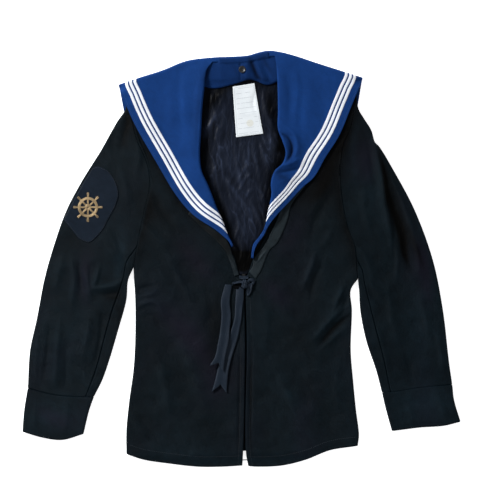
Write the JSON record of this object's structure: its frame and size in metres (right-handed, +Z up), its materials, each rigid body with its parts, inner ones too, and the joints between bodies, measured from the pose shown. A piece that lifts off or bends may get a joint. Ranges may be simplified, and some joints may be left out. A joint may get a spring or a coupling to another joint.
{
  "type": "sailor jumper",
  "caption": "Dark serge sailor jumper laid flat, with a deep blue collar edged in white tape, satin lining, tie ribbon and a sleeve badge.",
  "frame": {"origin": "on the floor under the middle of the flat garment", "axes": "+X across to the sleeve without the badge, +Y up to the collar, +Z up off the floor, front side up"},
  "size_m": [0.746, 0.7056, 0.0183],
  "materials": {
    "serge": "fine twill wool serge, blue-black, soft nap",
    "collar_blue": "firm cotton drill, mid navy blue",
    "tape_white": "woven white cotton tape, stitched at both edges",
    "lining": "dark satin lining with a soft sheen, crinkled",
    "facing": "grey-black grosgrain facing, creased",
    "ribbon": "black ribbed silk ribbon",
    "label": "white woven label with thin ruled lines and no lettering",
    "patch": "dark navy melton patch",
    "wire": "old gold wire embroidery, slightly tarnished",
    "button": "black four-hole button",
    "zip": "black woven zip tape and dark slider"
  },
  "bodies": {
    "root": {"back": "serge", "front_left": "serge", "front_right": "serge", "sleeve_left_top": "serge", "sleeve_left_under": "serge", "sleeve_right_top": "serge", "sleeve_right_under": "serge", "cuff_left": "serge", "cuff_right": "serge", "lining_back": "lining", "label": "label", "neck_band": "collar_blue", "neck_button": "button", "zip_tape": "zip", "zip_slider": "zip", "bar_tack": "ribbon", "facing_left": "facing", "facing_right": "facing", "collar": "collar_blue", "collar_tape_left_1": "tape_white", "collar_tape_left_2": "tape_white", "collar_tape_left_3": "tape_white", "collar_tape_right_1": "tape_white", "collar_tape_right_2": "tape_white", "collar_tape_right_3": "tape_white", "badge_patch": "patch", "badge_wheel": "wire", "tie_tail_back": "ribbon", "tie_tail_front": "ribbon", "tie_loop_left": "ribbon", "tie_stub_right": "ribbon", "tie_knot": "ribbon"}
  },
  "joints": []
}
